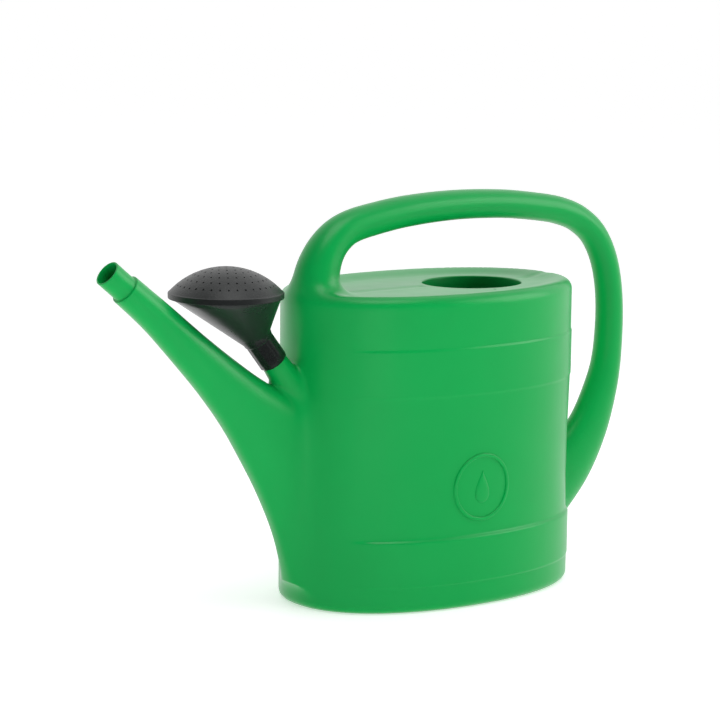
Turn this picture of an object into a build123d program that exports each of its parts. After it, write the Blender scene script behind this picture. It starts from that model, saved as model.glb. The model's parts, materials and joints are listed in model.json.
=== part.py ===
from build123d import *
import math
import os

# Ten litre garden watering can: one hollow blow-moulded can (tank, handle, spout and storage peg in one
# wall of plastic), and a rose in two moulded pieces that is stored on the peg.
# Millimetres, +Z up. The origin is the middle of the base, on the ground. The spout points to -X, the
# handle closes at +X, and the can is symmetric about the XZ plane.

# ---- driving dimensions -------------------------------------------------------------------------
WALL = 1.5                      # the moulded wall of the can

TANK_HALF_LENGTH = 142.5
TANK_HALF_WIDTH = 91.5
TANK_FULLNESS = 2.17            # exponent of the tank's oval: 2 is an ellipse, more is squarer
TANK_HEIGHT = 272.0
TANK_BANDS = (                  # from height, to height, how far the band is set in
    (0.0, 23.0, 0.7),
    (23.0, 63.0, 0.0),
    (63.0, 186.0, 2.3),
    (186.0, 226.5, 0.2),
    (226.5, TANK_HEIGHT, 0.9),
)
SHOULDER_RADIUS = 9.5
BASE_RADIUS = 7.0
BASE_HEIGHT = 12.0              # where the base region ends and the side wall begins
TOP_HEIGHT = 254.0              # where the side wall ends and the top region begins

FOOT_WIDTH = 22.0               # ring that the can stands on, from the tank's outline inwards
FOOT_RECESS = 4.0

DISH_DEPTH = 4.0                # the top sinks from the shoulder to the filling hole
DISH_MARGIN = 15.0
HOLE_CENTRE_X = 48.0
HOLE_HALF_LENGTH = 45.8
HOLE_HALF_WIDTH = 40.9
LIP_DEPTH = 13.5

NOZZLE_RISE = 40.2              # degrees above the horizontal
NOZZLE_RADIUS = 11.4
NOZZLE_LENGTH = 22.0
NOZZLE_WALL = 1.4
COLLAR_RADIUS = 13.3
MOUTH = (-325.6, 300.5)         # middle of the nozzle's mouth, X and Z

# Stations of the spout behind the collar: upper edge X and Z, lower edge X and Z, half width,
# and the fullness of the oval there.
SPOUT_STATIONS = (
    ((-270.1, 272.4), (-289.0, 251.5), 14.4, 2.0),
    ((-234.6, 243.2), (-258.3, 218.0), 16.0, 2.1),
    ((-205.0, 220.6), (-235.5, 192.6), 17.0, 2.2),
    ((-178.0, 201.6), (-213.4, 162.8), 17.8, 2.4),
    ((-150.0, 188.0), (-194.2, 131.9), 18.2, 2.6),
    ((-122.0, 176.0), (-172.0, 90.0), 18.6, 2.8),
    ((-100.0, 160.0), (-152.0, 36.0), 19.0, 3.0),
    ((-88.0, 140.0), (-132.0, 8.0), 19.0, 3.0),
)

# Stations of the handle's centre line, from the front foot round to the rear root: X, Z, radius in
# the XZ plane, and half width along Y.
HANDLE_STATIONS = (
    (-116.0, 246.0, 19.0, 19.0),
    (-119.6, 268.0, 20.6, 20.6),
    (-120.3, 280.0, 20.4, 20.4),
    (-117.8, 292.0, 18.8, 18.8),
    (-111.0, 305.5, 17.0, 17.0),
    (-100.5, 316.5, 15.6, 15.6),
    (-87.0, 324.0, 14.6, 14.6),
    (-65.5, 329.2, 14.2, 14.2),
    (-25.4, 335.0, 13.8, 13.8),
    (26.6, 337.8, 13.2, 13.2),
    (78.5, 336.3, 12.8, 13.0),
    (120.6, 331.6, 12.6, 12.9),
    (147.4, 326.6, 12.6, 12.8),
    (170.5, 317.6, 12.6, 12.7),
    (190.5, 301.0, 12.6, 12.6),
    (204.5, 273.5, 12.6, 12.6),
    (210.8, 236.0, 12.8, 12.7),
    (209.2, 190.0, 14.0, 13.0),
    (201.5, 157.0, 17.4, 13.4),
    (186.4, 122.0, 22.0, 14.0),
    (163.0, 92.0, 28.5, 15.0),
    (130.0, 66.0, 36.0, 16.0),
)
HANDLE_FRONT_CUT_X = -87.0      # where the front post ends and the grip begins
HANDLE_REAR_CUT = (190.5, 0, 301.0)     # where the grip ends and the rear leg begins

PEG_RISE = 52.0                 # degrees above the horizontal, leaning to the spout
PEG_SEAT = (-163.9, 215.3)      # on the peg's axis, where the rose's neck ends, X and Z
PEG_STATIONS = (                # distance along the axis from the seat, radius
    (-46.0, 16.0),
    (-14.0, 12.4),
    (0.0, 11.1),
    (20.0, 10.5),
    (22.8, 9.4),
    (24.0, 7.2),
)

NECK_RADIUS = 12.6
NECK_BORE = 11.5                # slides over the nozzle and over the peg
NECK_LENGTH = 28.0
ROSE_WALL = 1.4
RIM_CENTRE = (-211.5, 275.5)    # middle of the funnel's upper edge, X and Z
FUNNEL_RADIUS = 46.4
FUNNEL_RIM_HEIGHT = 2.5
FACE_RADIUS = 48.4
FACE_SKIRT = 3.2
FACE_WALL = 1.6
RIM_ROUND = 0.7
DOME_RISE = 23.0
DOME_RADIUS = 64.4
LEDGE_RADIUS = 44.4             # the face rests on the funnel's rim outside this radius
LEDGE_HEIGHT = 3.01
HOLE_RADIUS = 0.8
HOLE_PITCH = 6.8                # between rings of holes
HOLE_RINGS = 6


# ---- places worked out from them ----------------------------------------------------------------
def tilted_plane(origin, rise):
    """Plane in XZ whose Y axis climbs towards the spout at an angle, with its X axis square to it."""
    angle = math.radians(rise)
    return Plane(
        origin=(origin[0], 0, origin[1]),
        x_dir=(math.sin(angle), 0, math.cos(angle)),
        z_dir=(0, -1, 0),
    )


nozzle_side = tilted_plane(MOUTH, NOZZLE_RISE)
nozzle_axis = Axis(nozzle_side.origin, nozzle_side.y_dir)
collar_plane = Plane(
    origin=nozzle_side.origin - nozzle_side.y_dir * NOZZLE_LENGTH,
    x_dir=(0, 1, 0),
    z_dir=-nozzle_side.y_dir,
)
peg_side = tilted_plane(PEG_SEAT, PEG_RISE)
peg_plane = Plane(origin=peg_side.origin, x_dir=(0, 1, 0), z_dir=peg_side.y_dir)
neck_top = Plane(
    origin=peg_side.origin + peg_side.y_dir * NECK_LENGTH,
    x_dir=(0, 1, 0),
    z_dir=-peg_side.y_dir,
)
handle_cut = Plane(origin=HANDLE_REAR_CUT, z_dir=(1, 0, -1))
rim_side = Plane(origin=(RIM_CENTRE[0], 0, RIM_CENTRE[1]), x_dir=(1, 0, 0), z_dir=(0, -1, 0))
rim_axis = Axis(rim_side.origin, (0, 0, 1))


# ---- shared outlines and hollow bodies ----------------------------------------------------------
def oval_points(half_length, half_width, fullness, count=32):
    """Points round a closed oval; a fullness of 2 gives an ellipse."""
    points = []
    for step in range(count):
        angle = 2 * math.pi * step / count
        across = math.cos(angle)
        along = math.sin(angle)
        x = half_length * math.copysign(abs(across) ** (2 / fullness), across)
        y = half_width * math.copysign(abs(along) ** (2 / fullness), along)
        points.append((x, y))
    return points


def tank_outline(plane, inset):
    """Sketch of the tank's oval on a plane, set in from its full size."""
    with BuildSketch(plane) as sketch:
        with BuildLine():
            Spline(
                *oval_points(TANK_HALF_LENGTH - inset, TANK_HALF_WIDTH - inset, TANK_FULLNESS),
                periodic=True,
            )
        make_face()
    return sketch.sketch


def dish(drop):
    """The shallow funnel that leads down to the filling hole."""
    with BuildPart() as hollow:
        add(tank_outline(Plane.XY.offset(TANK_HEIGHT + 1.0 - drop), DISH_MARGIN - 2.0))
        with BuildSketch(Plane.XY.offset(TANK_HEIGHT - DISH_DEPTH - drop)):
            with Locations((HOLE_CENTRE_X, 0)):
                Ellipse(HOLE_HALF_LENGTH + 4.0, HOLE_HALF_WIDTH + 4.0)
        loft()
    return hollow.part


def foot_recess(lift):
    """The raised middle of the base, which leaves a ring to stand on."""
    with BuildPart() as hollow:
        add(tank_outline(Plane.XY.offset(-1.0), FOOT_WIDTH - 1.0 - lift))
        add(tank_outline(Plane.XY.offset(FOOT_RECESS + lift), FOOT_WIDTH + FOOT_RECESS - lift))
        loft()
    return hollow.part


def tank_body(shrink):
    """The tank as a block, its bands and rounded edges all set in by one wall or by none."""
    with BuildPart() as block:
        for index, (low, high, inset) in enumerate(TANK_BANDS):
            if index == 0:
                start = low + shrink
            else:
                below = TANK_BANDS[index - 1][2]
                start = low - math.copysign(shrink, inset - below)
            if index == len(TANK_BANDS) - 1:
                end = high - shrink
            else:
                above = TANK_BANDS[index + 1][2]
                end = high - math.copysign(shrink, above - inset)
            add(tank_outline(Plane.XY.offset(start), inset + shrink))
            extrude(amount=end - start)
        fillet(block.edges().group_by(Axis.Z)[-1], SHOULDER_RADIUS - shrink)
        fillet(block.edges().group_by(Axis.Z)[0], BASE_RADIUS - shrink)
        add(dish(shrink), mode=Mode.SUBTRACT)
        add(foot_recess(shrink), mode=Mode.SUBTRACT)
    return block.part


def spout_body(shrink):
    """The spout as a block from its collar to well inside the tank, shrunk inwards by shrink."""
    with BuildPart() as block:
        with BuildSketch(collar_plane):
            with BuildLine():
                Spline(*oval_points(COLLAR_RADIUS - shrink, COLLAR_RADIUS - shrink, 2.0), periodic=True)
            make_face()
        for upper, lower, half_width, fullness in SPOUT_STATIONS:
            rise = Vector(upper[0] - lower[0], 0, upper[1] - lower[1])
            middle = ((upper[0] + lower[0]) / 2, 0, (upper[1] + lower[1]) / 2)
            outwards = rise.cross(Vector(0, 1, 0))
            with BuildSketch(Plane(origin=middle, x_dir=(0, 1, 0), z_dir=outwards)):
                with BuildLine():
                    Spline(
                        *oval_points(half_width - shrink, rise.length / 2 - shrink, fullness),
                        periodic=True,
                    )
                make_face()
        loft()
    return block.part


def handle_body(shrink):
    """The handle as a block from inside the tank's top round to inside its rear wall."""
    last = len(HANDLE_STATIONS) - 1
    with BuildPart() as block:
        for index, (x, z, in_plane, across) in enumerate(HANDLE_STATIONS):
            before = HANDLE_STATIONS[max(index - 1, 0)]
            after = HANDLE_STATIONS[min(index + 1, last)]
            ahead = (after[0] - before[0], 0, after[1] - before[1])
            with BuildSketch(Plane(origin=(x, 0, z), x_dir=(0, 1, 0), z_dir=ahead)):
                Ellipse(across - shrink, in_plane - shrink)
        loft()
    return block.part


def peg_body(shrink):
    """The storage peg as a block: a long taper with a rounded tip."""
    with BuildPart() as block:
        for index, (distance, radius) in enumerate(PEG_STATIONS):
            start = distance - 2 * shrink if index == 0 else distance - shrink
            with BuildSketch(peg_plane.offset(start)):
                Circle(radius - shrink)
        loft(ruled=True)
    return block.part


def funnel_body(shrink, neck_radius, overrun):
    """The rose's funnel as a block: a leaning cone from its rim down to the neck, and the neck."""
    rim_plane = Plane.XY.offset(RIM_CENTRE[1] - FUNNEL_RIM_HEIGHT)
    with BuildPart() as block:
        with BuildSketch(rim_plane):
            with Locations((RIM_CENTRE[0], 0)):
                Circle(FUNNEL_RADIUS - shrink)
        with BuildSketch(neck_top):
            Circle(neck_radius)
        loft()
        with BuildSketch(neck_top):
            Circle(neck_radius)
        extrude(amount=NECK_LENGTH + overrun)
        with BuildSketch(rim_plane):
            with Locations((RIM_CENTRE[0], 0)):
                Circle(FUNNEL_RADIUS - shrink)
        extrude(amount=FUNNEL_RIM_HEIGHT + overrun)
    return block.part


tank_block = tank_body(0)
tank_hollow = tank_body(WALL)
spout_block = spout_body(0)
spout_hollow = spout_body(WALL)
handle_block = handle_body(0)
handle_hollow = handle_body(WALL)
peg_block = peg_body(0)
peg_hollow = peg_body(WALL)


# ---- the can: one moulding, in regions ----------------------------------------------------------
with BuildPart() as tank_shell:
    add(tank_block)
    add([tank_hollow, spout_hollow, handle_hollow, peg_hollow], mode=Mode.SUBTRACT)
    with BuildSketch(Plane.XY.offset(TANK_HEIGHT)):
        with Locations((HOLE_CENTRE_X, 0)):
            Ellipse(HOLE_HALF_LENGTH, HOLE_HALF_WIDTH)
    extrude(amount=-20, mode=Mode.SUBTRACT)

with BuildPart() as tank_base:
    add(tank_shell.part)
    split(bisect_by=Plane.XY.offset(BASE_HEIGHT), keep=Keep.BOTTOM)

with BuildPart() as tank_wall:
    add(tank_shell.part)
    split(bisect_by=Plane.XY.offset(BASE_HEIGHT), keep=Keep.TOP)
    split(bisect_by=Plane.XY.offset(TOP_HEIGHT), keep=Keep.BOTTOM)

with BuildPart() as tank_top:
    add(tank_shell.part)
    split(bisect_by=Plane.XY.offset(TOP_HEIGHT), keep=Keep.TOP)
    with BuildSketch(Plane.XY.offset(TANK_HEIGHT - DISH_DEPTH - LIP_DEPTH)):
        with Locations((HOLE_CENTRE_X, 0)):
            Ellipse(HOLE_HALF_LENGTH + WALL, HOLE_HALF_WIDTH + WALL)
            Ellipse(HOLE_HALF_LENGTH, HOLE_HALF_WIDTH, mode=Mode.SUBTRACT)
    extrude(amount=LIP_DEPTH)

with BuildPart() as spout:
    add(spout_block)
    add(tank_block, mode=Mode.SUBTRACT)
    add([spout_hollow, peg_hollow], mode=Mode.SUBTRACT)

with BuildPart() as nozzle:
    with BuildSketch(nozzle_side):
        with BuildLine():
            Polyline(
                (NOZZLE_RADIUS - NOZZLE_WALL, 0),
                (NOZZLE_RADIUS, 0),
                (NOZZLE_RADIUS, WALL - NOZZLE_LENGTH),
                (COLLAR_RADIUS, WALL - NOZZLE_LENGTH),
                (COLLAR_RADIUS, -NOZZLE_LENGTH),
                (NOZZLE_RADIUS - NOZZLE_WALL, -NOZZLE_LENGTH),
                close=True,
            )
        make_face()
    revolve(axis=nozzle_axis)

with BuildPart() as handle_shell:
    add(handle_block)
    add(tank_block, mode=Mode.SUBTRACT)
    add(handle_hollow, mode=Mode.SUBTRACT)

with BuildPart() as handle_front_post:
    add(handle_shell.part)
    split(bisect_by=Plane.YZ.offset(HANDLE_FRONT_CUT_X), keep=Keep.BOTTOM)

with BuildPart() as handle_grip:
    add(handle_shell.part)
    split(bisect_by=Plane.YZ.offset(HANDLE_FRONT_CUT_X), keep=Keep.TOP)
    split(bisect_by=handle_cut, keep=Keep.BOTTOM)

with BuildPart() as handle_rear_leg:
    add(handle_shell.part)
    split(bisect_by=handle_cut, keep=Keep.TOP)

with BuildPart() as rose_peg:
    add(peg_block)
    add(tank_block, mode=Mode.SUBTRACT)
    add(spout_block, mode=Mode.SUBTRACT)
    add(peg_hollow, mode=Mode.SUBTRACT)

can = {
    "tank_base": tank_base,
    "tank_wall": tank_wall,
    "tank_top": tank_top,
    "spout": spout,
    "nozzle": nozzle,
    "handle_front_post": handle_front_post,
    "handle_grip": handle_grip,
    "handle_rear_leg": handle_rear_leg,
    "rose_peg": rose_peg,
}


# ---- the rose: a funnel with a neck, and a domed face with the holes ----------------------------
with BuildPart() as rose_funnel:
    add(funnel_body(0, NECK_RADIUS, 0))
    add(funnel_body(ROSE_WALL, NECK_BORE, 1.0), mode=Mode.SUBTRACT)

with BuildPart() as rose_face:
    with BuildSketch(rim_side) as face_profile:
        with BuildLine():
            Polyline(
                (LEDGE_RADIUS, 0),
                (FACE_RADIUS - FACE_WALL, 0),
                (FACE_RADIUS - FACE_WALL, -FACE_SKIRT),
                (FACE_RADIUS, -FACE_SKIRT),
                (FACE_RADIUS, FACE_WALL),
                (FACE_RADIUS - 1.0, FACE_WALL + 0.6),
            )
            RadiusArc((FACE_RADIUS - 1.0, FACE_WALL + 0.6), (0, DOME_RISE), -DOME_RADIUS)
            Line((0, DOME_RISE), (0, DOME_RISE - FACE_WALL))
            RadiusArc((0, DOME_RISE - FACE_WALL), (LEDGE_RADIUS, LEDGE_HEIGHT), DOME_RADIUS - FACE_WALL)
            Line((LEDGE_RADIUS, LEDGE_HEIGHT), (LEDGE_RADIUS, 0))
        make_face()
        fillet(face_profile.vertices().group_by(Axis.X)[-1], RIM_ROUND)
    revolve(axis=rim_axis)
    with BuildSketch(Plane.XY.offset(RIM_CENTRE[1])):
        with Locations((RIM_CENTRE[0], 0)):
            for ring in range(HOLE_RINGS + 1):
                with PolarLocations(ring * HOLE_PITCH, max(1, 6 * ring)):
                    Circle(HOLE_RADIUS)
    extrude(amount=DOME_RISE + 1.0, mode=Mode.SUBTRACT)

rose = {
    "rose_funnel": rose_funnel,
    "rose_face": rose_face,
}


# ---- one STEP file per node ---------------------------------------------------------------------
os.makedirs("parts", exist_ok=True)
for name, piece in {**can, **rose}.items():
    piece.part.label = name
    export_step(piece.part, f"parts/{name}.step")
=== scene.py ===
import json
import math

import bmesh
import bpy
import numpy as np
from mathutils import Matrix, Vector


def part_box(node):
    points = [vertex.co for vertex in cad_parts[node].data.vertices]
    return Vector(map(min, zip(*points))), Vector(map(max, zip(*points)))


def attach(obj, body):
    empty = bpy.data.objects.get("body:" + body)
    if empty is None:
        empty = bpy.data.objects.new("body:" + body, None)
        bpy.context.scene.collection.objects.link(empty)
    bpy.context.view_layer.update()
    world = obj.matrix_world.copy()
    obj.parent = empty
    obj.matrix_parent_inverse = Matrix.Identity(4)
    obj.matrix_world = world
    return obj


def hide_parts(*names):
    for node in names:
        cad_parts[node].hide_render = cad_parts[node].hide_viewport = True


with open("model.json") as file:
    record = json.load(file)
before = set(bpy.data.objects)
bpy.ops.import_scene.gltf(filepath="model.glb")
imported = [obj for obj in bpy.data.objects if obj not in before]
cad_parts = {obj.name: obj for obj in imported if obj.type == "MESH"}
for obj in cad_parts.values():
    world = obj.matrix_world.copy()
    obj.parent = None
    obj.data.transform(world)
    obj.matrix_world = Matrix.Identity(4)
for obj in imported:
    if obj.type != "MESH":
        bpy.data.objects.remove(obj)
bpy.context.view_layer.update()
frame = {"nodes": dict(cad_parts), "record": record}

# The can is one hollow moulding, so its nodes are shown by one seamless mesh. Its surface is the zero
# level of a field, made of the tank, the spout, the handle and the peg blended into each other.
# Lengths below are millimetres, and the meshes are written in metres, in the frame of the CAD model.
MM = 0.001

# ---- sizes --------------------------------------------------------------------------------------
tank_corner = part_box("tank_wall")[1]
WALL = 1.5
HALF_LENGTH = tank_corner[0] / MM
HALF_WIDTH = tank_corner[1] / MM
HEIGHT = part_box("tank_top")[1][2] / MM
FULLNESS = 2.17                     # exponent of the tank's oval

SHOULDER_RADIUS = 9.5
BASE_RADIUS = 7.0
FOOT_WIDTH = 22.0
FOOT_RECESS = 4.0
WALL_PROFILE = (                    # height, how far the side wall stands in from its full size
    (0.0, 0.8), (22.2, 0.7), (23.8, 0.0), (61.8, 0.0), (64.2, 2.2), (95.0, 2.8), (140.0, 2.2),
    (184.8, 1.0), (187.2, 0.3), (225.6, 0.2), (227.4, 0.9), (300.0, 0.9),
)
WALL_RIBS = (23.0, 63.0, 186.0, 226.5)
PLAIN_INSET = 0.9                   # beside the spout, where the ribs fade out

DISH_DEPTH = 3.8
HOLE_X = 48.0
HOLE_HALF_LENGTH = 45.8
HOLE_HALF_WIDTH = 40.9
LIP_DEPTH = 13.5
LIP_ROUND = 1.3
HOLE_CUT = 8.5                      # the lip's rings replace the skins this far round the hole

MOUTH = np.array((-325.6, 0.0, 300.5))
NOZZLE_RISE = math.radians(40.2)
NOZZLE_DIRECTION = np.array((-math.cos(NOZZLE_RISE), 0.0, math.sin(NOZZLE_RISE)))
NOZZLE_LENGTH = 22.0
NOZZLE_RADIUS = 11.4
NOZZLE_BORE = 10.0
COLLAR_RADIUS = 13.3

SPOUT_UPPER = (
    (-330.0, 322.0), (-300.0, 296.4), (-270.1, 272.4), (-234.6, 243.2), (-205.0, 220.6),
    (-178.0, 201.6), (-150.0, 186.0), (-120.0, 174.0), (-90.0, 162.0),
)
SPOUT_LOWER = (
    (-347.0, 301.5), (-317.2, 276.0), (-289.0, 250.6), (-258.3, 217.6), (-235.5, 191.6),
    (-213.4, 162.8), (-194.2, 131.9), (-177.7, 102.3), (-163.2, 70.7), (-153.9, 43.2),
    (-147.0, 20.0), (-141.0, -8.0),
)
SPOUT_WIDTHS = (                    # distance up the nozzle's direction, half width, fullness
    (120.0, 20.0, 3.0),
    (174.0, 19.0, 2.8),
    (234.0, 18.2, 2.6),
    (267.0, 17.8, 2.4),
    (302.0, 17.0, 2.2),
    (337.0, 16.0, 2.1),
    (382.0, 14.4, 2.0),
    (420.0, 13.3, 2.0),
    (460.0, 12.6, 2.0),
)

SEAM_DEPTH = 0.7                    # the valley where the mould's halves met, along the top
SEAM_HALF_WIDTH = 4.5
SPOUT_ROOT_X = 112.0                # the spout ends inside the tank at -X, and above Z
SPOUT_ROOT_Z = 24.0

HANDLE = (                          # X, Z, radius in the XZ plane, half width
    (-116.0, 240.0, 19.0, 19.0),
    (-119.6, 268.0, 20.6, 20.6),
    (-120.3, 280.0, 20.2, 20.2),
    (-117.8, 292.0, 18.8, 18.8),
    (-111.0, 305.5, 17.0, 17.0),
    (-100.5, 316.5, 15.6, 15.6),
    (-87.0, 324.0, 14.6, 14.6),
    (-65.5, 329.2, 14.2, 14.2),
    (-25.4, 335.0, 13.8, 13.8),
    (26.6, 337.8, 13.2, 13.2),
    (78.5, 336.3, 12.8, 13.0),
    (120.6, 331.6, 12.6, 12.9),
    (147.4, 326.6, 12.6, 12.8),
    (170.5, 317.6, 12.6, 12.7),
    (190.5, 301.0, 12.6, 12.6),
    (204.5, 273.5, 12.6, 12.6),
    (210.8, 236.0, 12.8, 12.7),
    (209.2, 190.0, 14.0, 13.0),
    (201.5, 157.0, 17.4, 13.4),
    (186.4, 122.0, 22.0, 14.0),
    (163.0, 92.0, 28.5, 15.0),
    (128.0, 64.0, 36.0, 16.0),
)

PEG_SEAT = np.array((-163.9, 0.0, 215.3))
PEG_RISE = math.radians(52.0)
PEG_DIRECTION = np.array((-math.cos(PEG_RISE), 0.0, math.sin(PEG_RISE)))
PEG_RADII = ((-46.0, 16.0), (-14.0, 12.4), (0.0, 11.1), (20.0, 10.5))
PEG_TIP = 24.0

SPOUT_BLEND = 16.0
POST_BLEND = 18.0
LEG_BLEND = 14.0
PEG_BLEND = 5.0

FINE_GRID = 2.9
COARSE_GRID = 4.6
TABLE_LOW = (-352.0, -12.0)
TABLE_HIGH = (240.0, 366.0)
TABLE_SPACING = 1.25


# ---- fields -------------------------------------------------------------------------------------
def smooth_steps(value, low, high):
    """0 below low, 1 above high, with a smooth change between."""
    share = np.clip((value - low) / (high - low), 0.0, 1.0)
    return share * share * (3.0 - 2.0 * share)


def blended(first, second, reach):
    """Union of two fields with a fillet where they meet."""
    share = np.clip(0.5 + 0.5 * (second - first) / reach, 0.0, 1.0)
    return second * (1.0 - share) + first * share - reach * share * (1.0 - share)


def rounded_corner(first, second, radius):
    """Intersection of two fields with a round outer edge."""
    outside = np.hypot(np.maximum(first + radius, 0.0), np.maximum(second + radius, 0.0))
    return np.minimum(-radius, np.maximum(first, second)) + outside


def oval_distance(u, v, half_u, half_v, power):
    """Distance from an oval, exact near its outline."""
    a = np.abs(u / half_u)
    b = np.abs(v / half_v)
    size = np.maximum((a ** power + b ** power) ** (1.0 / power), 0.05)
    slope_u = (a / size) ** (power - 1.0) / half_u
    slope_v = (b / size) ** (power - 1.0) / half_v
    return (size - 1.0) / np.maximum(np.hypot(slope_u, slope_v), 1e-6)


def curve_through(points, steps=12):
    """Points on a Catmull-Rom curve through rows of numbers, with straight ends."""
    rows = np.array(points, float)
    rows = np.vstack((2 * rows[0] - rows[1], rows, 2 * rows[-1] - rows[-2]))
    share = np.linspace(0.0, 1.0, steps, endpoint=False)[:, None]
    spans = []
    for before, start, end, after in zip(rows[:-3], rows[1:-2], rows[2:-1], rows[3:]):
        bend = 2 * before - 5 * start + 4 * end - after
        twist = -before + 3 * start - 3 * end + after
        spans.append(0.5 * (2 * start + (end - before) * share + bend * share**2 + twist * share**3))
    return np.vstack(spans + [rows[-2][None, :]])


def nearest_on(path, x, z):
    """For points in the XZ plane: signed distance from a path, and the place along it as an index."""
    shape = x.shape
    x = x.ravel()
    z = z.ravel()
    distance = np.empty(x.size)
    place = np.empty(x.size)
    start = path[:-1, :2]
    span = path[1:, :2] - start
    length = np.maximum((span**2).sum(1), 1e-9)
    for first in range(0, x.size, 20000):
        part = slice(first, first + 20000)
        dx = x[part, None] - start[None, :, 0]
        dz = z[part, None] - start[None, :, 1]
        share = (dx * span[:, 0] + dz * span[:, 1]) / length
        inner = np.clip(share, 0.0, 1.0)
        away = (dx - inner * span[:, 0]) ** 2 + (dz - inner * span[:, 1]) ** 2
        best = np.argmin(away, axis=1)
        rows = np.arange(best.size)
        side = span[best, 0] * dz[rows, best] - span[best, 1] * dx[rows, best]
        distance[part] = np.sqrt(away[rows, best]) * np.where(side >= 0, 1.0, -1.0)
        place[part] = best + inner[rows, best]
    return distance.reshape(shape), place.reshape(shape)


upper_path = curve_through(SPOUT_UPPER)
lower_path = curve_through(SPOUT_LOWER)
handle_path = curve_through(HANDLE)
spout_widths = np.array(SPOUT_WIDTHS)


def planar_table():
    """What the spout and the handle need to know of each point of the XZ plane, on an even grid."""
    xs = np.arange(TABLE_LOW[0], TABLE_HIGH[0], TABLE_SPACING)
    zs = np.arange(TABLE_LOW[1], TABLE_HIGH[1], TABLE_SPACING)
    x, z = np.meshgrid(xs, zs, indexing="ij")
    above, _ = nearest_on(upper_path, x, z)
    below, _ = nearest_on(lower_path, x, z)
    away, place = nearest_on(handle_path[:, :2], x, z)
    places = np.arange(len(handle_path))
    radius = np.interp(place, places, handle_path[:, 2])
    half_width = np.interp(place, places, handle_path[:, 3])
    return np.stack((above, below, np.abs(away), radius, half_width), axis=-1)


def looked_up(x, z):
    """Rows of the table at points of the XZ plane."""
    across = np.clip((x - TABLE_LOW[0]) / TABLE_SPACING, 0, table.shape[0] - 1.001)
    up = np.clip((z - TABLE_LOW[1]) / TABLE_SPACING, 0, table.shape[1] - 1.001)
    i = across.astype(int)
    k = up.astype(int)
    a = (across - i)[..., None]
    c = (up - k)[..., None]
    low = table[i, k] * (1 - a) + table[i + 1, k] * a
    high = table[i, k + 1] * (1 - a) + table[i + 1, k + 1] * a
    rows = low * (1 - c) + high * c
    return np.moveaxis(rows, -1, 0)


table = planar_table()


def tank_field(x, y, z):
    heights, insets = zip(*WALL_PROFILE)
    near_spout = smooth_steps(-x, HALF_LENGTH - 42.0, HALF_LENGTH - 18.0)
    inset = np.interp(z, heights, insets) * (1.0 - near_spout) + PLAIN_INSET * near_spout
    wall = oval_distance(x, y, HALF_LENGTH, HALF_WIDTH, FULLNESS)
    seam = SEAM_DEPTH * np.exp(-((y / SEAM_HALF_WIDTH) ** 2))
    top = z - HEIGHT + DISH_DEPTH * smooth_steps(-wall, 8.0, 34.0) + seam
    recess = FOOT_RECESS * smooth_steps(-wall, FOOT_WIDTH - 4.0, FOOT_WIDTH + 2.0)
    body = rounded_corner(wall + inset, top, SHOULDER_RADIUS)
    return rounded_corner(body, recess - z, BASE_RADIUS)


def spout_field(x, y, z, above, below):
    half_height = np.maximum((below - above) / 2, 4.0)
    reach = x * NOZZLE_DIRECTION[0] + z * NOZZLE_DIRECTION[2]
    half_width = np.interp(reach, spout_widths[:, 0], spout_widths[:, 1])
    power = np.interp(reach, spout_widths[:, 0], spout_widths[:, 2])
    tube = oval_distance((above + below) / 2, y, half_height, half_width, power)
    return np.maximum(tube, np.maximum(x + SPOUT_ROOT_X, SPOUT_ROOT_Z - z))


def peg_field(x, y, z):
    dx = x - PEG_SEAT[0]
    dz = z - PEG_SEAT[2]
    climb = dx * PEG_DIRECTION[0] + dz * PEG_DIRECTION[2]
    away = np.hypot(dx * PEG_DIRECTION[2] - dz * PEG_DIRECTION[0], y)
    distances, radii = zip(*PEG_RADII)
    cone = rounded_corner(away - np.interp(climb, distances, radii), climb - PEG_TIP, 4.0)
    return np.maximum(cone, PEG_RADII[0][0] - climb)


def can_field(x, y, z):
    """The whole moulding's outside: negative inside, and close to the distance near the surface."""
    above, below, away, radius, half_width = looked_up(x, z)
    body = blended(tank_field(x, y, z), spout_field(x, y, z, above, below), SPOUT_BLEND)
    handle = oval_distance(away, y, radius, half_width, 2.0)
    body = blended(body, handle, np.where(x < 0.0, POST_BLEND, LEG_BLEND))
    return blended(body, peg_field(x, y, z), PEG_BLEND)


# ---- meshes from fields -------------------------------------------------------------------------
def grid_lines(low, high, spacing, fine_places=(), fine_spacing=0.6, fine_count=3):
    """Even lines from low to high, with closer lines round some places."""
    lines = list(np.arange(low, high + spacing, spacing))
    for place in fine_places:
        reach = fine_spacing * (fine_count + 0.5)
        lines = [line for line in lines if abs(line - place) > reach]
        lines += [place + fine_spacing * step for step in range(-fine_count, fine_count + 1)]
    return np.array(sorted(lines))


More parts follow.
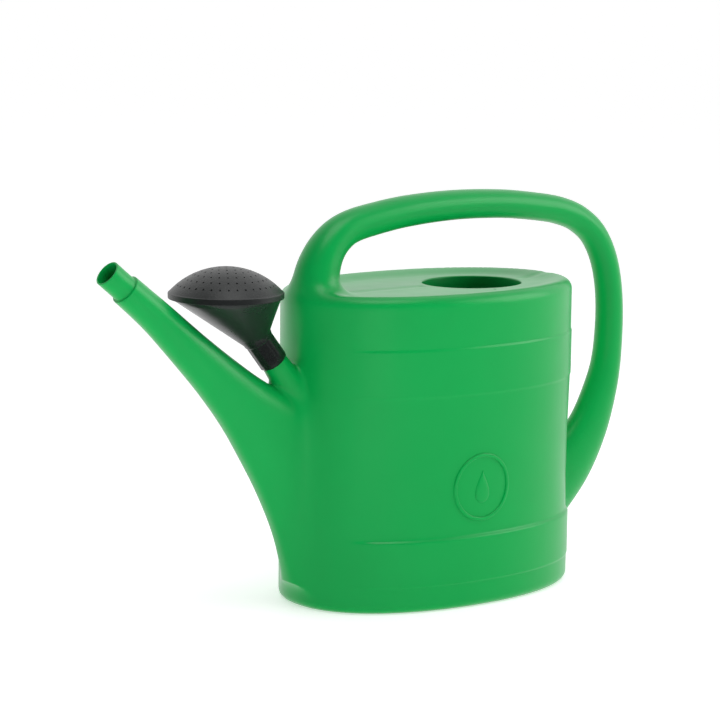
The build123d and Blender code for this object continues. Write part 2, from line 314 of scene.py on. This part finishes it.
def surface_net(field, level, lines):
    """Vertices and quads of the surface where a field equals level, on a grid of lines."""
    xs, ys, zs = lines
    planar_x, planar_z = np.meshgrid(xs, zs, indexing="ij")
    values = np.empty((len(xs), len(ys), len(zs)))
    for row, y in enumerate(ys):
        values[:, row, :] = field(planar_x, np.full_like(planar_x, y), planar_z) - level
    inside = values < 0.0
    cells = tuple(size - 1 for size in values.shape)
    total = np.zeros(cells + (3,))
    hits = np.zeros(cells)
    corners = [(a, b, c) for a in (0, 1) for b in (0, 1) for c in (0, 1)]

    def corner(array, offset):
        return array[tuple(slice(o, o + n) for o, n in zip(offset, cells))]

    base = np.stack(np.meshgrid(xs[:-1], ys[:-1], zs[:-1], indexing="ij"), axis=-1)
    steps = np.stack(np.meshgrid(np.diff(xs), np.diff(ys), np.diff(zs), indexing="ij"), axis=-1)
    for start in corners:
        for axis in range(3):
            if start[axis]:
                continue
            end = tuple(1 if a == axis else s for a, s in enumerate(start))
            first = corner(values, start)
            second = corner(values, end)
            crossed = corner(inside, start) != corner(inside, end)
            share = np.where(crossed, first / np.where(crossed, first - second, 1.0), 0.0)
            place = base + steps * np.array(start, float)
            place[..., axis] += steps[..., axis] * share
            total += place * crossed[..., None]
            hits += crossed
    used = hits > 0
    index = np.full(cells, -1)
    index[used] = np.arange(used.sum())
    vertices = total[used] / hits[used][:, None]
    quads = []
    for axis in range(3):
        one, two = [other for other in range(3) if other != axis]
        low = [slice(1, n) for n in cells]
        low[axis] = slice(0, cells[axis])
        high = list(low)
        high[axis] = slice(1, cells[axis] + 1)
        start_in = inside[tuple(low)]
        crossed = np.argwhere(start_in != inside[tuple(high)])
        outward = start_in[tuple(crossed.T)]
        crossed[:, one] += 1
        crossed[:, two] += 1
        ring = []
        for shift_one, shift_two in ((1, 1), (0, 1), (0, 0), (1, 0)):
            cell = crossed.copy()
            cell[:, one] -= shift_one
            cell[:, two] -= shift_two
            ring.append(index[tuple(cell.T)])
        faces = np.stack(ring, axis=1)
        if axis == 1:
            outward = ~outward
        faces[~outward] = faces[~outward][:, ::-1]
        quads.append(faces)
    return vertices, np.vstack(quads)


def settled(field, level, vertices, rounds=3):
    """Vertices moved onto the surface along the field's slope."""
    nudge = 0.05
    points = vertices.copy()
    for _ in range(rounds):
        value = field(*points.T) - level
        slope = np.empty_like(points)
        for axis in range(3):
            ahead = points.copy()
            ahead[:, axis] += nudge
            slope[:, axis] = (field(*ahead.T) - level - value) / nudge
        steepness = np.maximum((slope**2).sum(1), 0.05)
        move = -(value / steepness)[:, None] * slope
        size = np.linalg.norm(move, axis=1, keepdims=True)
        points += move * np.minimum(1.0, 1.5 / np.maximum(size, 1e-9))
    return points


def evened(field, level, vertices, quads, share=0.5, rounds=2):
    """Vertices drawn towards the middle of their neighbours, then put back on the surface."""
    edges = np.vstack([quads[:, (a, (a + 1) % 4)] for a in range(4)])
    points = vertices
    for _ in range(rounds):
        total = np.zeros_like(points)
        count = np.zeros(len(points))
        np.add.at(total, edges[:, 0], points[edges[:, 1]])
        np.add.at(count, edges[:, 0], 1)
        middle = total / np.maximum(count, 1)[:, None]
        points = settled(field, level, points + share * (middle - points), 1)
    return settled(field, level, points, 2)


def without(vertices, quads, gone):
    """The quads that touch no vertex marked gone, with the unused vertices dropped."""
    quads = quads[~gone[quads].any(axis=1)]
    used = np.unique(quads)
    renumber = np.full(len(vertices), -1)
    renumber[used] = np.arange(len(used))
    return vertices[used], renumber[quads]


def rim_loops(quads):
    """Each open rim of a mesh as its vertices in order."""
    directed = np.vstack([quads[:, (a, (a + 1) % 4)] for a in range(4)])
    keys = set(map(tuple, directed.tolist()))
    follow = {b: a for a, b in keys if (b, a) not in keys}
    loops = []
    while follow:
        start, current = follow.popitem()
        loop = [start]
        while current != start:
            loop.append(current)
            current = follow.pop(current)
        loops.append(loop)
    return loops


CAN_NODES = frame["record"]["behaviour"]["bodies"]["can"]


class Moulding:
    """Points and faces gathered into one mesh."""

    def __init__(self):
        self.points = []
        self.faces = []
        self.count = 0

    def add(self, points):
        first = self.count
        self.points.append(np.asarray(points, float))
        self.count += len(points)
        return first

    def add_net(self, vertices, quads):
        first = self.add(vertices)
        self.faces += (quads + first).tolist()
        return first

    def add_rings(self, rings):
        """Rings of equal length, joined in order. Returns the first and the last ring's vertices."""
        size = len(rings[0])
        starts = [self.add(ring) for ring in rings]
        for low, high in zip(starts[:-1], starts[1:]):
            for step in range(size):
                after = (step + 1) % size
                self.faces.append((low + step, low + after, high + after, high + step))
        return [list(range(start, start + size)) for start in (starts[0], starts[-1])]

    def zip_loops(self, first, second, angle_of):
        """Triangles between two closed loops that run round the same axis."""
        points = np.vstack(self.points)
        runs = []
        for loop in (first, second):
            angles = angle_of(points[loop])
            if np.sum(np.diff(np.unwrap(angles))) < 0:
                loop = loop[::-1]
                angles = angles[::-1]
            start = int(np.argmin(angles))
            loop = loop[start:] + loop[:start]
            angles = np.unwrap(np.concatenate((angles[start:], angles[:start])))
            runs.append((loop + loop[:1], np.append(angles, angles[0] + 2 * math.pi)))
        (one, one_angles), (two, two_angles) = runs
        a = b = 0
        while a < len(one) - 1 or b < len(two) - 1:
            if b == len(two) - 1 or (a < len(one) - 1 and one_angles[a + 1] <= two_angles[b + 1]):
                self.faces.append((one[a], one[a + 1], two[b]))
                a += 1
            else:
                self.faces.append((one[a], two[b + 1], two[b]))
                b += 1

    def mesh_object(self, name):
        mesh = bpy.data.meshes.new(name)
        mesh.from_pydata((np.vstack(self.points) * MM).tolist(), [], self.faces)
        shape = bmesh.new()
        shape.from_mesh(mesh)
        bmesh.ops.recalc_face_normals(shape, faces=shape.faces)
        shape.to_mesh(mesh)
        shape.free()
        mesh.shade_smooth()
        piece = bpy.data.objects.new(name, mesh)
        bpy.context.scene.collection.objects.link(piece)
        return piece


# ---- the can ------------------------------------------------------------------------------------
def hole_size(points, margin):
    """Below 1 inside the filling hole's outline when that is widened by a margin."""
    across = (points[:, 0] - HOLE_X) / (HOLE_HALF_LENGTH + margin)
    return np.hypot(across, points[:, 1] / (HOLE_HALF_WIDTH + margin))


def nozzle_reach(points):
    """Distance past the mouth along the nozzle's axis."""
    return (points - MOUTH) @ NOZZLE_DIRECTION


def hole_angle(points):
    return np.arctan2(points[:, 1] / HOLE_HALF_WIDTH, (points[:, 0] - HOLE_X) / HOLE_HALF_LENGTH)


NOZZLE_SIDE = np.cross(NOZZLE_DIRECTION, (0.0, 1.0, 0.0))


def nozzle_angle(points):
    away = points - MOUTH
    return np.arctan2(away[:, 1], away @ NOZZLE_SIDE)


def hole_ring(margin, height, count=160):
    angles = np.linspace(0, 2 * math.pi, count, endpoint=False)
    return np.stack((
        HOLE_X + (HOLE_HALF_LENGTH + margin) * np.cos(angles),
        (HOLE_HALF_WIDTH + margin) * np.sin(angles),
        np.full(count, height),
    ), axis=1)


def nozzle_ring(reach, radius, count=96):
    angles = np.linspace(0, 2 * math.pi, count, endpoint=False)
    sideways = np.outer(np.cos(angles), NOZZLE_SIDE) + np.outer(np.sin(angles), (0.0, 1.0, 0.0))
    return MOUTH + reach * NOZZLE_DIRECTION + radius * sideways


def skin(level, spacing, ribs):
    """One side of the wall, open at the filling hole and behind the nozzle's collar."""
    lines = (
        grid_lines(-322.0, 236.0, spacing),
        grid_lines(-99.0, 99.0, spacing),
        grid_lines(-8.6, 358.0, spacing, ribs),
    )
    vertices, quads = surface_net(can_field, level, lines)
    vertices = settled(can_field, level, vertices, 2)
    vertices = evened(can_field, level, vertices, quads, 0.5, 1)
    near_top = np.abs(vertices[:, 2] - HEIGHT) < 12.0
    over_hole = (hole_size(vertices, HOLE_CUT) < 1.0) & near_top
    past_collar = nozzle_reach(vertices) > -NOZZLE_LENGTH - 6.0
    vertices, quads = without(vertices, quads, over_hole | past_collar)
    return vertices, quads


def arc(start_angle, end_angle, steps):
    """Cosines and sines round an arc, angles in degrees."""
    angles = np.radians(np.linspace(start_angle, end_angle, steps))
    return zip(np.cos(angles), np.sin(angles))


def build_can():
    can = Moulding()
    rims = []
    for level, spacing, ribs in ((0.0, FINE_GRID, WALL_RIBS), (-WALL, COARSE_GRID, ())):
        vertices, quads = skin(level, spacing, ribs)
        first = can.add_net(vertices, quads)
        loops = [[first + index for index in loop] for loop in rim_loops(quads)]
        loops.sort(key=lambda loop: np.vstack(can.points)[loop][:, 0].mean())
        rims.append(loops)
    (outer_collar, outer_hole), (inner_collar, inner_hole) = rims

    top = HEIGHT - DISH_DEPTH
    rings = [hole_ring(margin, top) for margin in (6.5, 4.0, 2.2)]
    for across, up in arc(90, 180, 7):
        rings.append(hole_ring(LIP_ROUND + LIP_ROUND * across, top - LIP_ROUND + LIP_ROUND * up))
    end = WALL / 2
    for across, up in arc(180, 360, 7):
        rings.append(hole_ring(end + end * across, top - LIP_DEPTH + end + end * up))
    rings.append(hole_ring(WALL, top - WALL - 3.0))
    for across, up in arc(180, 90, 4):
        rings.append(hole_ring(WALL + 2.0 + 2.0 * across, top - WALL - 2.0 + 2.0 * up))
    rings.append(hole_ring(6.0, top - WALL))
    lip_start, lip_end = can.add_rings(rings)
    can.zip_loops(outer_hole, lip_start, hole_angle)
    can.zip_loops(inner_hole, lip_end, hole_angle)

    rings = []
    back = -NOZZLE_LENGTH
    for reach in (-4.6, -3.0):
        ring = nozzle_ring(back + reach, COLLAR_RADIUS)
        rings.append(settled(can_field, 0.0, ring, 3))
    rings.append(nozzle_ring(back - 1.4, COLLAR_RADIUS))
    for across, up in arc(0, 90, 5):
        rings.append(nozzle_ring(back - 0.8 + 0.8 * up, COLLAR_RADIUS - 0.8 + 0.8 * across))
    for across, up in arc(270, 180, 4):
        rings.append(nozzle_ring(back + 0.6 + 0.6 * up, NOZZLE_RADIUS + 0.6 + 0.6 * across))
    rings.append(nozzle_ring(back / 2, NOZZLE_RADIUS))
    edge = (NOZZLE_RADIUS - NOZZLE_BORE) / 2
    for across, up in arc(0, 180, 9):
        rings.append(nozzle_ring(-edge + edge * up, NOZZLE_RADIUS - edge + edge * across))
    rings.append(nozzle_ring(back / 2, NOZZLE_BORE))
    rings.append(nozzle_ring(back, NOZZLE_BORE))
    for reach in (-3.0, -4.6):
        ring = nozzle_ring(back + reach, COLLAR_RADIUS - WALL)
        rings.append(settled(can_field, -WALL, ring, 3))
    collar_start, collar_end = can.add_rings(rings)
    can.zip_loops(outer_collar, collar_start, nozzle_angle)
    can.zip_loops(inner_collar, collar_end, nozzle_angle)

    piece = can.mesh_object("can_moulding")
    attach(piece, "can")
    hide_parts(*CAN_NODES)
    return piece



# ---- the emblem on the side: a plain ring round a drop ------------------------------------------
EMBLEM_CENTRE = (-7.0, 104.7)
EMBLEM_RADIUS = 29.5
EMBLEM_BAND = 3.4
EMBLEM_RELIEF = 1.3
DROP_HALF_WIDTH = 11.0
DROP_HALF_HEIGHT = 14.5


def on_side(x, z, lift):
    """Points of the tank's -Y side at X and Z, raised along the surface's normal."""
    near = np.full(x.shape, -HALF_WIDTH - 6.0)
    far = np.full(x.shape, -HALF_WIDTH + 20.0)
    for _ in range(24):
        middle = (near + far) / 2
        outside = can_field(x, middle, z) > 0.0
        near = np.where(outside, middle, near)
        far = np.where(outside, far, middle)
    return np.stack((x, far - lift, z), axis=1)


def relief(outlines, lifts, closed_middle):
    """Rings of points on the tank's side, each with its own height above it, joined in order."""
    piece = Moulding()
    rings = [on_side(outline[:, 0], outline[:, 1], lift) for outline, lift in zip(outlines, lifts)]
    first, _ = piece.add_rings(rings)
    if closed_middle:
        piece.faces.append(tuple(first))
    return piece


def build_emblem():
    angles = np.linspace(0, 2 * math.pi, 144, endpoint=False)
    circle = np.stack((np.cos(angles), np.sin(angles)), axis=1)
    inner = EMBLEM_RADIUS - EMBLEM_BAND
    across = np.array((0.0, 0.2, 0.5, 0.9, EMBLEM_BAND / 2))
    radii = np.concatenate((inner + across, EMBLEM_RADIUS - across[-2::-1]))
    rise = np.array((-0.4, 0.55, 0.9, 1.0, 1.0)) * EMBLEM_RELIEF
    lifts = np.concatenate((rise, rise[-2::-1]))
    centre = np.array(EMBLEM_CENTRE)
    ring = relief([centre + radius * circle for radius in radii], lifts, False)

    narrowing = np.abs(np.sin(angles / 2)) ** 1.6
    drop_outline = np.stack((
        DROP_HALF_WIDTH * np.sin(angles) * narrowing,
        DROP_HALF_HEIGHT * (np.cos(angles) + 0.35),
    ), axis=1)
    drop_centre = centre - (0.0, 4.5)
    shares = (0.1, 0.35, 0.6, 0.8, 0.9, 0.96, 1.0)
    lifts = (1.3, 1.25, 1.15, 0.95, 0.7, 0.35, -0.4)
    drop = relief([drop_centre + share * drop_outline for share in shares], lifts, True)

    for name, shape in (("emblem_ring", ring), ("emblem_drop", drop)):
        piece = shape.mesh_object(name)
        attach(piece, "can")
        yield piece


# ---- the rose -----------------------------------------------------------------------------------
ROSE_RIM = np.array((-211.5, 0.0, 273.0))
ROSE_RIM_RADIUS = 46.4
ROSE_RIM_HEIGHT = 2.4
ROSE_WALL = 1.4
NECK_RADIUS = 12.6
NECK_BORE = 11.5
NECK_LENGTH = 28.0
NECK_FACETS = 12
NECK_STEP = 0.7
ACROSS_PEG = np.array((math.sin(PEG_RISE), 0.0, math.cos(PEG_RISE)))


def build_funnel():
    angles = np.linspace(0, 2 * math.pi, 120, endpoint=False)
    facets = np.abs(np.sin(angles * NECK_FACETS / 2))

    def neck_ring(climb, radius):
        radius = np.broadcast_to(radius, angles.shape)
        flat = (radius * np.cos(angles))[:, None] * ACROSS_PEG
        flat[:, 1] = radius * np.sin(angles)
        return PEG_SEAT + climb * PEG_DIRECTION + flat

    def rim_ring(height, radius):
        flat = np.stack((np.cos(angles), np.sin(angles), np.zeros(angles.size)), axis=1)
        return ROSE_RIM + (0.0, 0.0, height) + radius * flat

    def cone(low, high, steps):
        return [low + (high - low) * share for share in np.linspace(0.0, 1.0, steps)]

    outer = NECK_RADIUS - 0.35 * (1.0 - facets)
    rings = [neck_ring(0.0, NECK_BORE), neck_ring(0.0, outer - 0.4), neck_ring(0.4, outer)]
    rings += [neck_ring(climb, outer) for climb in (8.0, 16.0, NECK_LENGTH - 3.6, NECK_LENGTH - 3.2)]
    step = NECK_RADIUS + NECK_STEP
    rings += [neck_ring(NECK_LENGTH - 2.6, step - 0.2), neck_ring(NECK_LENGTH - 2.0, step)]
    rings += cone(neck_ring(NECK_LENGTH, step), rim_ring(-0.6, ROSE_RIM_RADIUS - 0.4), 10)
    rings += [rim_ring(0.2, ROSE_RIM_RADIUS), rim_ring(ROSE_RIM_HEIGHT - 0.4, ROSE_RIM_RADIUS)]
    rings += [rim_ring(ROSE_RIM_HEIGHT, ROSE_RIM_RADIUS - 0.4)]
    inner = ROSE_RIM_RADIUS - ROSE_WALL
    rings += [rim_ring(ROSE_RIM_HEIGHT, inner + 0.3), rim_ring(ROSE_RIM_HEIGHT - 0.3, inner)]
    rings += cone(rim_ring(0.0, inner), neck_ring(NECK_LENGTH, NECK_BORE), 8)
    rings += [neck_ring(NECK_LENGTH / 2, NECK_BORE)]
    funnel = Moulding()
    first, last = funnel.add_rings(rings)
    for step in range(angles.size):
        after = (step + 1) % angles.size
        funnel.faces.append((last[step], last[after], first[after], first[step]))
    piece = funnel.mesh_object("rose_funnel_moulding")
    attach(piece, "rose")
    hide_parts("rose_funnel")
    return piece


# ---- materials ----------------------------------------------------------------------------------
def moulded_plastic(name, dark, light, roughness, grain, ripple, specular):
    """A plastic with slight variation of tone and gloss, a fine grain and shallow ripples."""
    material = bpy.data.materials.new(name)
    material.use_nodes = True
    nodes = material.node_tree.nodes
    links = material.node_tree.links
    shader = nodes["Principled BSDF"]
    shader.inputs["Specular IOR Level"].default_value = specular
    place = nodes.new("ShaderNodeTexCoord").outputs["Object"]

    def noise(scale, detail):
        texture = nodes.new("ShaderNodeTexNoise")
        texture.inputs["Scale"].default_value = scale
        texture.inputs["Detail"].default_value = detail
        links.new(place, texture.inputs["Vector"])
        return texture.outputs["Fac"]

    tone = nodes.new("ShaderNodeMix")
    tone.data_type = "RGBA"
    tone.inputs["A"].default_value = dark
    tone.inputs["B"].default_value = light
    links.new(noise(9.0, 3.0), tone.inputs["Factor"])
    links.new(tone.outputs["Result"], shader.inputs["Base Color"])

    gloss = nodes.new("ShaderNodeMapRange")
    gloss.inputs["To Min"].default_value = roughness[0]
    gloss.inputs["To Max"].default_value = roughness[1]
    links.new(noise(55.0, 4.0), gloss.inputs["Value"])
    links.new(gloss.outputs["Result"], shader.inputs["Roughness"])

    previous = None
    for scale, detail, distance in (ripple, grain):
        bump = nodes.new("ShaderNodeBump")
        bump.inputs["Distance"].default_value = distance
        links.new(noise(scale, detail), bump.inputs["Height"])
        if previous:
            links.new(previous, bump.inputs["Normal"])
        previous = bump.outputs["Normal"]
    links.new(previous, shader.inputs["Normal"])
    return material


AZIMUTH = math.radians(36.07)       # the camera looks along +X and +Y at this angle from +Y
FLOOR_GLOW = 0.50
SURROUND_FRONT = 0.05
SURROUND_BACK = 1.15
KEY_POWER = 12.0
OVERHEAD_POWER = 11.0
LOW_FILL_POWER = 3.6


def give(piece, material):
    piece.data.materials.clear()
    piece.data.materials.append(material)


def add_light(name, place, aim, size, power, mirrored=True):
    data = bpy.data.lights.new(name, "AREA")
    data.shape = "SQUARE"
    data.size = size
    data.energy = power
    light = bpy.data.objects.new(name, data)
    light.location = place
    light.rotation_euler = (Vector(aim) - Vector(place)).to_track_quat("-Z", "Y").to_euler()
    light.visible_glossy = mirrored
    bpy.context.scene.collection.objects.link(light)


def build_studio():
    """A white floor and a bright surround behind the can, dimmer towards the camera."""
    material = bpy.data.materials.new("studio_floor")
    material.use_nodes = True
    shader = material.node_tree.nodes["Principled BSDF"]
    shader.inputs["Base Color"].default_value = (0.90, 0.90, 0.90, 1.0)
    shader.inputs["Roughness"].default_value = 0.9
    shader.inputs["Specular IOR Level"].default_value = 0.1
    shader.inputs["Emission Color"].default_value = (1.0, 1.0, 1.0, 1.0)
    shader.inputs["Emission Strength"].default_value = FLOOR_GLOW
    bpy.ops.mesh.primitive_plane_add(size=60.0)
    floor = bpy.context.object
    floor.name = "studio_floor"
    floor.visible_glossy = False
    give(floor, material)

    world = bpy.data.worlds.new("studio")
    world.use_nodes = True
    nodes = world.node_tree.nodes
    links = world.node_tree.links
    direction = nodes.new("ShaderNodeTexCoord").outputs["Generated"]
    facing = nodes.new("ShaderNodeVectorMath")
    facing.operation = "DOT_PRODUCT"
    facing.inputs[1].default_value = (math.sin(AZIMUTH), math.cos(AZIMUTH), 0.0)
    links.new(direction, facing.inputs[0])
    ramp = nodes.new("ShaderNodeMapRange")
    ramp.interpolation_type = "SMOOTHSTEP"
    ramp.inputs["From Min"].default_value = -0.5
    ramp.inputs["From Max"].default_value = 0.7
    ramp.inputs["To Min"].default_value = SURROUND_FRONT
    ramp.inputs["To Max"].default_value = SURROUND_BACK
    links.new(facing.outputs["Value"], ramp.inputs["Value"])
    links.new(ramp.outputs["Result"], nodes["Background"].inputs["Strength"])
    nodes["Background"].inputs["Color"].default_value = (1.0, 1.0, 1.0, 1.0)
    bpy.context.scene.world = world
    bpy.context.scene.view_settings.view_transform = "Standard"
    add_light("key", (1.5, -1.1, 1.0), (0.0, 0.0, 0.15), 1.2, KEY_POWER)
    add_light("overhead", (-0.3, -0.6, 2.0), (0.0, 0.0, 0.0), 1.2, OVERHEAD_POWER)
    add_light("low_fill", (-0.55, -0.85, 0.06), (0.0, 0.0, 0.05), 0.5, LOW_FILL_POWER, mirrored=False)


def build_camera():
    """The photograph's view: its direction, its slight roll and its perspective."""
    elevation = math.radians(9.12)
    roll = math.radians(0.637)
    target = Vector((-73.45, 0.0, 208.4)) * MM
    right = Vector((math.cos(AZIMUTH), -math.sin(AZIMUTH), 0.0))
    forward = Vector((
        math.sin(AZIMUTH) * math.cos(elevation),
        math.cos(AZIMUTH) * math.cos(elevation),
        -math.sin(elevation),
    ))
    up = right.cross(forward)
    across = right * math.cos(roll) + up * math.sin(roll)
    upward = up * math.cos(roll) - right * math.sin(roll)
    data = bpy.data.cameras.new("camera")
    data.sensor_width = 36.0
    data.lens = 131.1
    data.clip_end = 50.0
    camera = bpy.data.objects.new("camera", data)
    camera.matrix_world = Matrix((across, upward, -forward)).transposed().to_4x4()
    camera.location = target - forward * 2263.6 * MM
    bpy.context.scene.collection.objects.link(camera)
    bpy.context.scene.camera = camera


can_piece = build_can()
emblem_pieces = list(build_emblem())
funnel_piece = build_funnel()

green = moulded_plastic(
    "green_plastic", (0.001, 0.355, 0.068, 1.0), (0.002, 0.410, 0.080, 1.0), (0.28, 0.35),
    grain=(260.0, 2.0, 0.00002), ripple=(28.0, 1.0, 0.0004), specular=0.36,
)
black = moulded_plastic(
    "black_plastic", (0.009, 0.011, 0.011, 1.0), (0.016, 0.019, 0.019, 1.0), (0.36, 0.46),
    grain=(800.0, 3.0, 0.00025), ripple=(40.0, 1.0, 0.0002), specular=0.5,
)
black_gloss = moulded_plastic(
    "black_gloss_plastic", (0.008, 0.010, 0.010, 1.0), (0.014, 0.017, 0.017, 1.0), (0.24, 0.32),
    grain=(300.0, 2.0, 0.00003), ripple=(45.0, 1.0, 0.0003), specular=0.55,
)
for piece in (can_piece, *emblem_pieces):
    give(piece, green)
give(funnel_piece, black_gloss)
for name, node in frame["nodes"].items():
    give(node, green if name in CAN_NODES else black)

build_studio()
build_camera()
